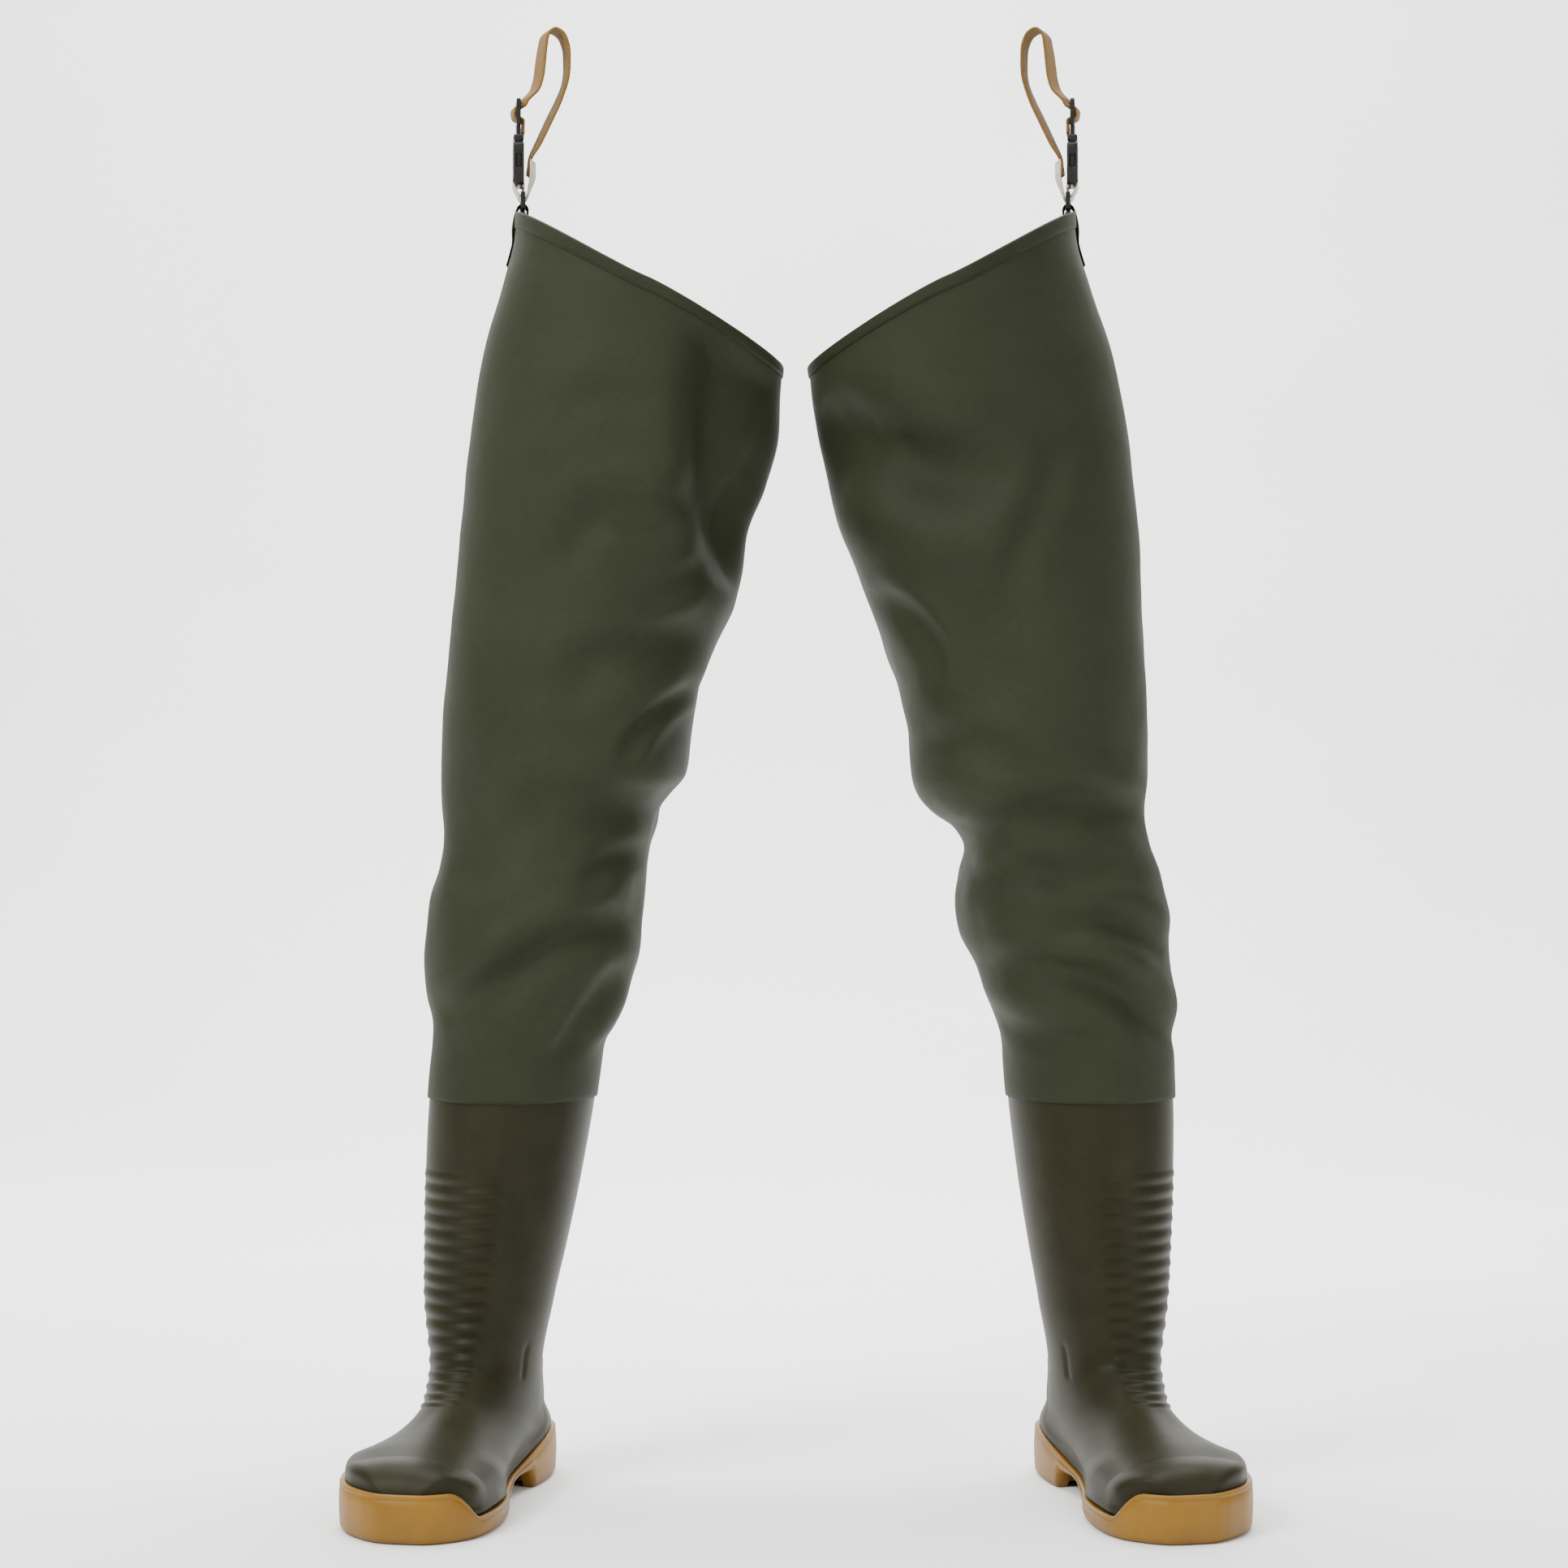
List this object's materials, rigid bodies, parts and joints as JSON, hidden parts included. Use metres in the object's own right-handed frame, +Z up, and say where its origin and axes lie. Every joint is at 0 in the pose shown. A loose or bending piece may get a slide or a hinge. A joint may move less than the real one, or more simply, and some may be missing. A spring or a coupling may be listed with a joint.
{
  "type": "thigh waders",
  "caption": "Pair of thigh waders: moulded boots with welded coated-fabric legs, slanted tops and side-release belt straps.",
  "frame": {"origin": "on the floor, under the centre of the box around the standing pair", "axes": "+Z up; the toes point to -Y; +X towards the wearer's left, so the right wader is at -X"},
  "size_m": [0.6098, 0.3408, 1.0258],
  "materials": {
    "boot_pvc": "moulded olive PVC, soft sheen",
    "sole_pvc": "tan moulded rubber-like PVC, satin",
    "coated_fabric": "woven nylon coated with olive PVC, low sheen",
    "lining_knit": "thin knitted lining",
    "insole_foam": "fabric-faced foam",
    "black_plastic": "moulded acetal, fine satin",
    "cream_webbing": "woven webbing",
    "tan_webbing": "woven webbing"
  },
  "bodies": {
    "right_boot": {"right_boot_shell": "boot_pvc", "right_boot_lining": "lining_knit", "right_insole": "insole_foam", "right_outsole": "sole_pvc", "right_lower_leg": "coated_fabric", "right_knee_section": "coated_fabric"},
    "right_thigh": {"right_thigh": "coated_fabric", "right_top_hem": "coated_fabric", "right_hanger_tab": "coated_fabric"},
    "right_ring": {"right_anchor_ring": "black_plastic"},
    "right_strap": {"right_anchor_webbing": "cream_webbing", "right_buckle_socket": "black_plastic", "right_belt_strap": "tan_webbing"},
    "right_plug": {"right_buckle_plug": "black_plastic"},
    "left_boot": {"left_boot_shell": "boot_pvc", "left_boot_lining": "lining_knit", "left_insole": "insole_foam", "left_outsole": "sole_pvc", "left_lower_leg": "coated_fabric", "left_knee_section": "coated_fabric"},
    "left_thigh": {"left_thigh": "coated_fabric", "left_top_hem": "coated_fabric", "left_hanger_tab": "coated_fabric"},
    "left_ring": {"left_anchor_ring": "black_plastic"},
    "left_strap": {"left_anchor_webbing": "cream_webbing", "left_buckle_socket": "black_plastic", "left_belt_strap": "tan_webbing"},
    "left_plug": {"left_buckle_plug": "black_plastic"}
  },
  "joints": [
    {"name": "right_knee", "type": "hinge", "parent": "right_boot", "child": "right_thigh", "pos_m": [-0.177, 0.06092, 0.454], "axis": [-1, 0, 0], "range_deg": [0, 100], "deforming": ["right_knee_section"]},
    {"name": "right_ring_swing", "type": "hinge", "parent": "right_thigh", "child": "right_ring", "pos_m": [-0.191, 0.04892, 0.895], "axis": [-0.0872, 0.9962, 0], "range_deg": [-30, 30]},
    {"name": "right_strap_swing", "type": "hinge", "parent": "right_ring", "child": "right_strap", "pos_m": [-0.191, 0.04892, 0.905], "axis": [-0.0872, 0.9962, 0], "range_deg": [-90, 60]},
    {"name": "right_buckle_release", "type": "slide", "parent": "right_strap", "child": "right_plug", "axis": [0, 0, 1], "range_m": [0, 0.024], "deforming": ["right_belt_strap"]},
    {"name": "left_knee", "type": "hinge", "parent": "left_boot", "child": "left_thigh", "pos_m": [0.177, 0.06092, 0.454], "axis": [-1, 0, 0], "range_deg": [0, 100], "deforming": ["left_knee_section"]},
    {"name": "left_ring_swing", "type": "hinge", "parent": "left_thigh", "child": "left_ring", "pos_m": [0.191, 0.04892, 0.895], "axis": [-0.0872, -0.9962, 0], "range_deg": [-30, 30]},
    {"name": "left_strap_swing", "type": "hinge", "parent": "left_ring", "child": "left_strap", "pos_m": [0.191, 0.04892, 0.905], "axis": [-0.0872, -0.9962, 0], "range_deg": [-90, 60]},
    {"name": "left_buckle_release", "type": "slide", "parent": "left_strap", "child": "left_plug", "axis": [0, 0, 1], "range_m": [0, 0.024], "deforming": ["left_belt_strap"]},
    {"name": "left_wader_placing", "type": "slide", "parent": "right_boot", "child": "left_boot", "axis": [1, 0, 0], "range_m": [0, 0.3]}
  ]
}
